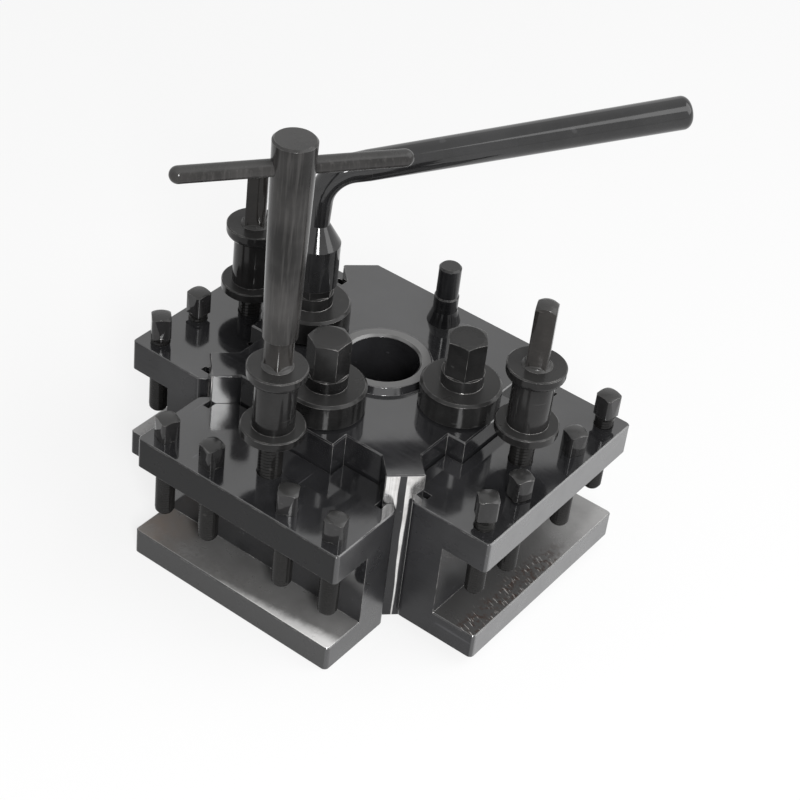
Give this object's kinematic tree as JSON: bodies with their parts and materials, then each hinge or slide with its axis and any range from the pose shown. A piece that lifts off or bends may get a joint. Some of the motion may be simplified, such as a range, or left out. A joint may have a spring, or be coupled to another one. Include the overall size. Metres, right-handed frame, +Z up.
{
  "type": "lathe tool post",
  "caption": "Quick-change lathe tool post: a ridged square post with a centre bore, slide-on tool holders with clamping screws, cams that draw them tight, a lever and a T-wrench.",
  "frame": {"origin": "centre of the centre bore at the post's underside", "axes": "+Z up along the centre bore; the holders stand on the -Y, +X and -X faces; the plain face is +Y"},
  "size_m": [0.1802, 0.2322, 0.2091],
  "materials": {
    "post_steel": "satin",
    "holder_steel": "satin",
    "pin_steel": "satin",
    "spindle_steel": "satin",
    "bolt_steel": "satin",
    "ring_steel": "satin",
    "screw_steel": "satin",
    "stud_steel": "satin",
    "collar_steel": "satin",
    "wrench_steel": "satin",
    "lever_steel": "gloss"
  },
  "bodies": {
    "post": {"post_body": "post_steel", "rear_stop_pin": "pin_steel"},
    "cam_1": {"cam_spindle_1": "spindle_steel", "cam_retaining_ring_1": "ring_steel"},
    "bolt_1": {"draw_bolt_1": "bolt_steel"},
    "holder_1": {"tool_holder_1": "holder_steel"},
    "clamp_1a": {"clamp_screw_1a": "screw_steel"},
    "clamp_1b": {"clamp_screw_1b": "screw_steel"},
    "clamp_1c": {"clamp_screw_1c": "screw_steel"},
    "clamp_1d": {"clamp_screw_1d": "screw_steel"},
    "height_1": {"height_screw_1": "stud_steel", "height_collar_1": "collar_steel"},
    "cam_2": {"cam_spindle_2": "spindle_steel", "cam_retaining_ring_2": "ring_steel"},
    "bolt_2": {"draw_bolt_2": "bolt_steel"},
    "holder_2": {"tool_holder_2": "holder_steel"},
    "clamp_2a": {"clamp_screw_2a": "screw_steel"},
    "clamp_2b": {"clamp_screw_2b": "screw_steel"},
    "clamp_2c": {"clamp_screw_2c": "screw_steel"},
    "clamp_2d": {"clamp_screw_2d": "screw_steel"},
    "height_2": {"height_screw_2": "stud_steel", "height_collar_2": "collar_steel"},
    "cam_3": {"cam_spindle_3": "spindle_steel", "cam_retaining_ring_3": "ring_steel"},
    "bolt_3": {"draw_bolt_3": "bolt_steel"},
    "holder_3": {"tool_holder_3": "holder_steel"},
    "clamp_3a": {"clamp_screw_3a": "screw_steel"},
    "clamp_3b": {"clamp_screw_3b": "screw_steel"},
    "clamp_3c": {"clamp_screw_3c": "screw_steel"},
    "clamp_3d": {"clamp_screw_3d": "screw_steel"},
    "height_3": {"height_screw_3": "stud_steel", "height_collar_3": "collar_steel"},
    "wrench": {"t_wrench_body": "wrench_steel", "t_wrench_bar": "wrench_steel"},
    "lever": {"cam_lever": "lever_steel"}
  },
  "joints": [
    {"name": "cam_turn_1", "type": "hinge", "parent": "post", "child": "cam_1", "pos_m": [0, -0.038, 0.074], "axis": [0, 0, 1], "range_deg": [0, 60]},
    {"name": "bolt_draw_1", "type": "slide", "parent": "post", "child": "bolt_1", "axis": [0, 1, 0], "range_m": [-0.00002, 0.00203]},
    {"name": "holder_lift_1", "type": "slide", "parent": "post", "child": "holder_1", "axis": [0, 0, 1], "range_m": [0, 0.06]},
    {"name": "clamp_feed_1a", "type": "slide", "parent": "holder_1", "child": "clamp_1a", "axis": [0, 0, -1], "range_m": [-0.02, 0]},
    {"name": "clamp_feed_1b", "type": "slide", "parent": "holder_1", "child": "clamp_1b", "axis": [0, 0, -1], "range_m": [-0.02, 0]},
    {"name": "clamp_feed_1c", "type": "slide", "parent": "holder_1", "child": "clamp_1c", "axis": [0, 0, -1], "range_m": [-0.02, 0]},
    {"name": "clamp_feed_1d", "type": "slide", "parent": "holder_1", "child": "clamp_1d", "axis": [0, 0, -1], "range_m": [-0.02, 0]},
    {"name": "height_turn_1", "type": "hinge", "parent": "holder_1", "child": "height_1", "pos_m": [0, -0.0697, 0.06], "axis": [0, 0, 1], "continuous": true},
    {"name": "cam_turn_2", "type": "hinge", "parent": "post", "child": "cam_2", "pos_m": [0.038, 0, 0.074], "axis": [0, 0, 1], "range_deg": [-8, 52]},
    {"name": "bolt_draw_2", "type": "slide", "parent": "post", "child": "bolt_2", "axis": [-1, 0, 0], "range_m": [-0.0003, 0.00178]},
    {"name": "holder_lift_2", "type": "slide", "parent": "post", "child": "holder_2", "axis": [0, 0, 1], "range_m": [0, 0.06]},
    {"name": "clamp_feed_2a", "type": "slide", "parent": "holder_2", "child": "clamp_2a", "axis": [0, 0, -1], "range_m": [-0.015, 0.005]},
    {"name": "clamp_feed_2b", "type": "slide", "parent": "holder_2", "child": "clamp_2b", "axis": [0, 0, -1], "range_m": [-0.0192, 0.0008]},
    {"name": "clamp_feed_2c", "type": "slide", "parent": "holder_2", "child": "clamp_2c", "axis": [0, 0, -1], "range_m": [-0.02, 0]},
    {"name": "clamp_feed_2d", "type": "slide", "parent": "holder_2", "child": "clamp_2d", "axis": [0, 0, -1], "range_m": [-0.0146, 0.0054]},
    {"name": "height_turn_2", "type": "hinge", "parent": "holder_2", "child": "height_2", "pos_m": [0.0697, 0, 0.0645], "axis": [0, 0, 1], "continuous": true},
    {"name": "cam_turn_3", "type": "hinge", "parent": "post", "child": "cam_3", "pos_m": [-0.038, 0, 0.074], "axis": [0, 0, 1], "range_deg": [0, 60]},
    {"name": "bolt_draw_3", "type": "slide", "parent": "post", "child": "bolt_3", "axis": [1, 0, 0], "range_m": [-0.00002, 0.00203]},
    {"name": "holder_lift_3", "type": "slide", "parent": "post", "child": "holder_3", "axis": [0, 0, 1], "range_m": [0, 0.06]},
    {"name": "clamp_feed_3a", "type": "slide", "parent": "holder_3", "child": "clamp_3a", "axis": [0, 0, -1], "range_m": [-0.02, 0]},
    {"name": "clamp_feed_3b", "type": "slide", "parent": "holder_3", "child": "clamp_3b", "axis": [0, 0, -1], "range_m": [-0.02, 0]},
    {"name": "clamp_feed_3c", "type": "slide", "parent": "holder_3", "child": "clamp_3c", "axis": [0, 0, -1], "range_m": [-0.017, 0.003]},
    {"name": "clamp_feed_3d", "type": "slide", "parent": "holder_3", "child": "clamp_3d", "axis": [0, 0, -1], "range_m": [-0.017, 0.003]},
    {"name": "height_turn_3", "type": "hinge", "parent": "holder_3", "child": "height_3", "pos_m": [-0.0697, 0, 0.0645], "axis": [0, 0, 1], "continuous": true},
    {"name": "wrench_lift", "type": "slide", "parent": "height_1", "child": "wrench", "axis": [0, 0, 1], "range_m": [0, 0.03]},
    {"name": "lever_lift", "type": "slide", "parent": "cam_3", "child": "lever", "axis": [0, 0, 1], "range_m": [0, 0.03]}
  ],
  "couplings": [
    {"joint": "bolt_draw_1", "follows": "cam_turn_1", "m_per_rad": 0.0019098},
    {"joint": "bolt_draw_2", "follows": "cam_turn_2", "m_per_rad": 0.0019185},
    {"joint": "bolt_draw_3", "follows": "cam_turn_3", "m_per_rad": 0.0019098}
  ]
}
